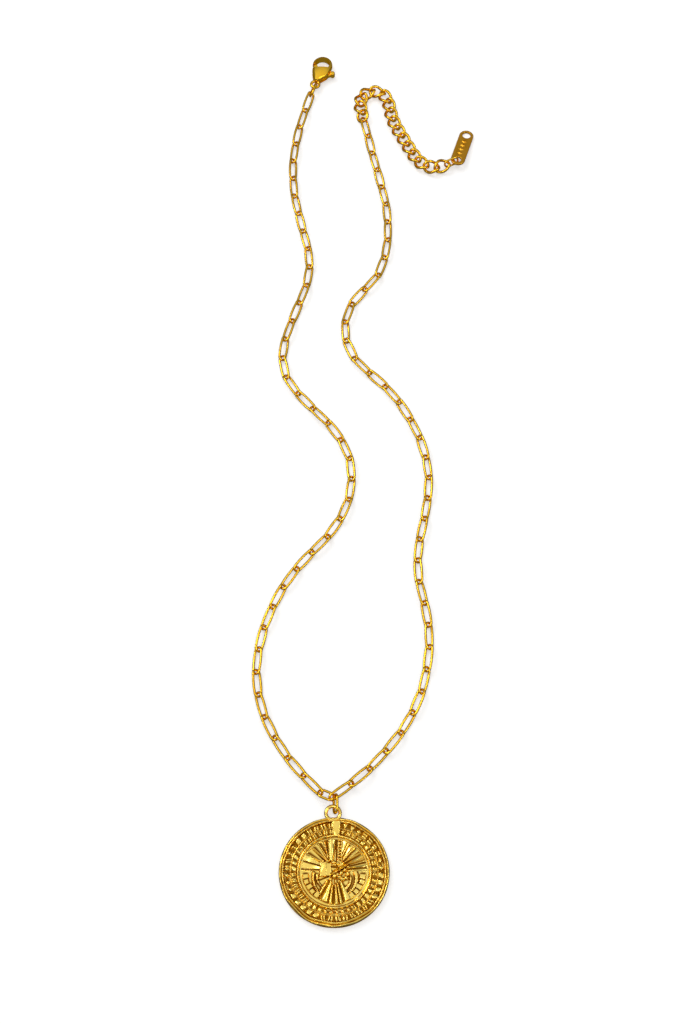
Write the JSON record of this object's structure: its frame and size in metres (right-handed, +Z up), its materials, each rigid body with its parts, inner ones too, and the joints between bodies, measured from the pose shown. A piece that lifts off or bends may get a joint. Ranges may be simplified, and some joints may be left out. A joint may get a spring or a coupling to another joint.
{
  "type": "necklace",
  "caption": "Gold paperclip-chain necklace laid open, with a round sunburst medal, a lobster clasp and a curb-chain extender with an end tag.",
  "frame": {"origin": "on the surface that the necklace lies on, under the middle of the medal's back", "axes": "+Z up, out of the medal's face; +Y from the medal to the two open ends of the chain; +X to the right, the side with the extender"},
  "size_m": [0.0548, 0.2316, 0.003],
  "materials": {
    "medal_gold": "polished gold plate",
    "chain_gold": "polished gold plate",
    "tag_gold": "polished gold plate"
  },
  "bodies": {
    "necklace": {"coin_medal": "medal_gold", "pendant_ring": "chain_gold", "chain_left": "chain_gold", "chain_right": "chain_gold", "clasp_body": "chain_gold", "clasp_ring": "chain_gold", "extender_ring": "chain_gold", "extender_chain": "chain_gold", "tag_ring": "chain_gold", "end_tag": "tag_gold"},
    "lever": {"clasp_lever": "chain_gold"}
  },
  "joints": [
    {"name": "lever_hinge", "type": "hinge", "parent": "necklace", "child": "lever", "pos_m": [-0.00444, 0.21305, 0.0014], "axis": [0, 0, 1], "range_deg": [-28, 0], "stiffness_Nm_per_rad": 0.008, "springref_deg": 11.46}
  ]
}
